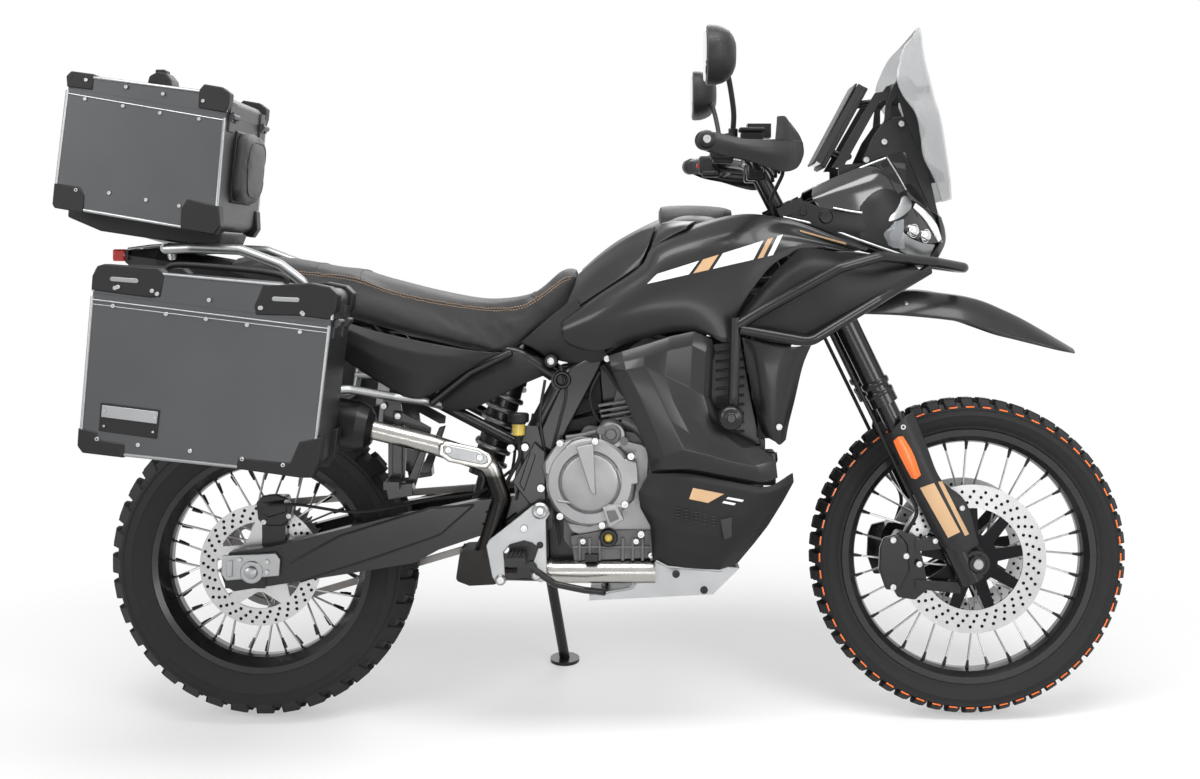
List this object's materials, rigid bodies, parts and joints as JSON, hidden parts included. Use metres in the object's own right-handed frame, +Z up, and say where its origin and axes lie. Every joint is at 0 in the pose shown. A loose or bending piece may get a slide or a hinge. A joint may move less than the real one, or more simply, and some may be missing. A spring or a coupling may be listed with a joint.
{
  "type": "adventure motorcycle with cases",
  "caption": "Adventure motorcycle on its side stand with a top case and two side cases, wire wheels, crash bars and a tall windscreen; wheels, steering, lids and stand move.",
  "frame": {"origin": "middle of the bounding box at ground level, with the bike leaning on its side stand", "axes": "+X forward, the way the bike rides; +Y to the rider's left, the side it leans to; +Z up"},
  "size_m": [2.28, 1.133, 1.5032],
  "materials": {
    "frame_paint": "satin black",
    "engine_metal": "dark painted cast aluminium",
    "cover_metal": "dark grey painted cast aluminium",
    "steel_pipe": "brushed stainless steel",
    "muffler_metal": "satin black",
    "radiator_metal": "black fins",
    "body_grey": "dark grey satin paint",
    "black_plastic": "fine texture",
    "silver_metal": "satin anodised",
    "case_metal": "dark grey anodised",
    "lamp_glass": "clear lens over dark housing",
    "screen_glass": "smoked clear plastic",
    "display_glass": "black glass",
    "seat_cover": "matte vinyl with tan stitching",
    "pad_cover": "matte vinyl",
    "tyre_rubber": "matte",
    "rim_black": "gloss black",
    "disc_steel": "ground",
    "chain_steel": "oiled",
    "fork_metal": "black anodised",
    "hose_rubber": "matte",
    "shock_metal": "light spring, black body"
  },
  "bodies": {
    "chassis": {"main_frame": "frame_paint", "subframe": "frame_paint", "engine": "engine_metal", "engine_covers": "cover_metal", "exhaust_pipe": "steel_pipe", "muffler": "muffler_metal", "radiator": "radiator_metal", "fuel_tank": "body_grey", "tank_covers": "body_grey", "shrouds": "black_plastic", "low_fairings": "body_grey", "engine_guards": "black_plastic", "skid_plate": "silver_metal", "crash_bars": "frame_paint", "nose_cowl": "body_grey", "headlight": "lamp_glass", "windscreen": "screen_glass", "instrument_bracket": "frame_paint", "display": "display_glass", "seat": "seat_cover", "side_panels": "black_plastic", "tail_unit": "black_plastic", "rear_rack": "silver_metal", "pannier_racks": "silver_metal", "right_case": "case_metal", "left_case": "case_metal", "top_case": "case_metal", "backrest_pad": "pad_cover", "swingarm": "fork_metal", "shock": "shock_metal", "peg_brackets": "silver_metal", "foot_controls": "silver_metal", "rear_caliper": "fork_metal", "chain": "chain_steel"},
    "steering": {"triple_clamps": "fork_metal", "fork_legs": "fork_metal", "fork_guards": "black_plastic", "front_fender": "black_plastic", "handlebar": "frame_paint", "handguards": "black_plastic", "mirrors": "black_plastic", "front_calipers": "fork_metal", "brake_hoses": "hose_rubber"},
    "front_wheel": {"front_tyre": "tyre_rubber", "front_wheel": "rim_black", "front_discs": "disc_steel"},
    "rear_wheel": {"rear_tyre": "tyre_rubber", "rear_wheel": "rim_black", "rear_disc": "disc_steel", "rear_sprocket": "disc_steel"},
    "right_lid": {"right_lid": "case_metal"},
    "left_lid": {"left_lid": "case_metal"},
    "top_lid": {"top_lid": "case_metal"},
    "side_stand": {"side_stand": "frame_paint"}
  },
  "joints": [
    {"name": "steering_turn", "type": "hinge", "parent": "chassis", "child": "steering", "pos_m": [0.41451, -0.00306, 0.97676], "axis": [-0.4384, 0.1561, 0.8851], "range_deg": [-38, 38]},
    {"name": "front_wheel_spin", "type": "hinge", "parent": "steering", "child": "front_wheel", "pos_m": [0.79503, -0.11477, 0.34323], "axis": [0, 0.9848, -0.1736], "continuous": true},
    {"name": "rear_wheel_spin", "type": "hinge", "parent": "chassis", "child": "rear_wheel", "pos_m": [-0.73497, -0.11686, 0.33141], "axis": [0, 0.9848, -0.1736], "continuous": true},
    {"name": "right_lid_hinge", "type": "hinge", "parent": "chassis", "child": "right_lid", "pos_m": [-0.50361, -0.40587, 0.92385], "axis": [0, 0.9848, -0.1736], "range_deg": [0, 95]},
    {"name": "left_lid_hinge", "type": "hinge", "parent": "chassis", "child": "left_lid", "pos_m": [-0.50361, 0.35735, 0.78927], "axis": [0, 0.9848, -0.1736], "range_deg": [0, 95]},
    {"name": "top_lid_hinge", "type": "hinge", "parent": "chassis", "child": "top_lid", "pos_m": [-0.7727, 0.04905, 1.2723], "axis": [0, 0.9848, -0.1736], "range_deg": [0, 95]},
    {"name": "side_stand_fold", "type": "hinge", "parent": "chassis", "child": "side_stand", "pos_m": [-0.13497, 0.05496, 0.29807], "axis": [0.0485, 0.9738, 0.222], "range_deg": [0, 98.3]}
  ]
}
